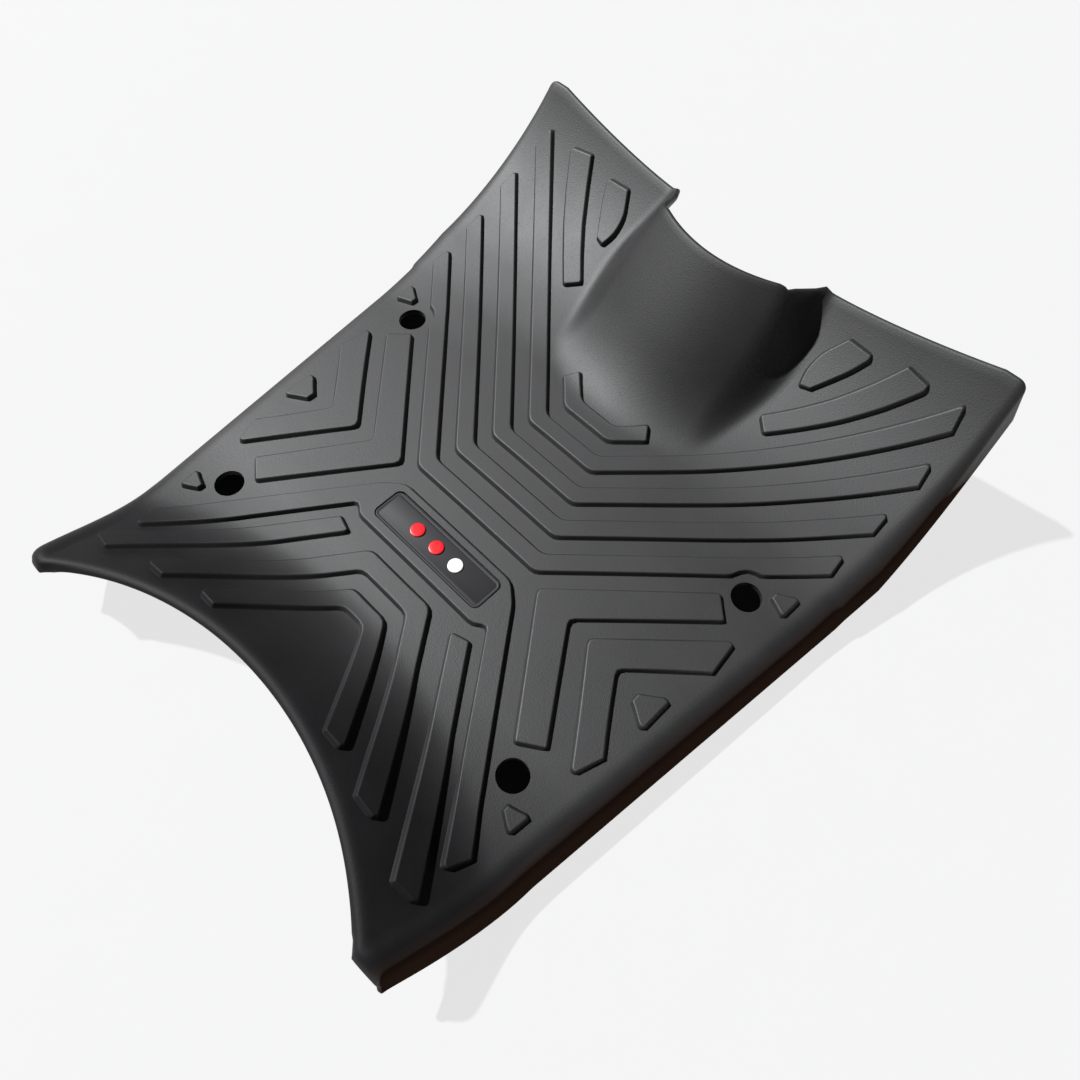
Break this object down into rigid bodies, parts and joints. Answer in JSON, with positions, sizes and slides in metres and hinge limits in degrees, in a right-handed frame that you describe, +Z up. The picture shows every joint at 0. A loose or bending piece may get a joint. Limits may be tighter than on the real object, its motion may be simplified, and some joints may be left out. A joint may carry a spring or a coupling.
{
  "type": "scooter floorboard",
  "caption": "Moulded rubber floorboard mat of a scooter, with raised tread ribs, side skirts, a front bulge over the frame tunnel and a badge plate.",
  "frame": {"origin": "middle of the mat's overall length and width, at the level its skirts stand on", "axes": "+X to the rider's right, +Y to the front of the scooter, +Z up"},
  "size_m": [0.387, 0.443, 0.109],
  "materials": {
    "rubber": "matte, fine grained",
    "badge": "matte",
    "red": "gloss",
    "white": "gloss"
  },
  "bodies": {
    "root": {"floor_mat": "rubber", "badge_plate": "badge", "badge_red_studs": "red", "badge_white_stud": "white"}
  },
  "joints": []
}
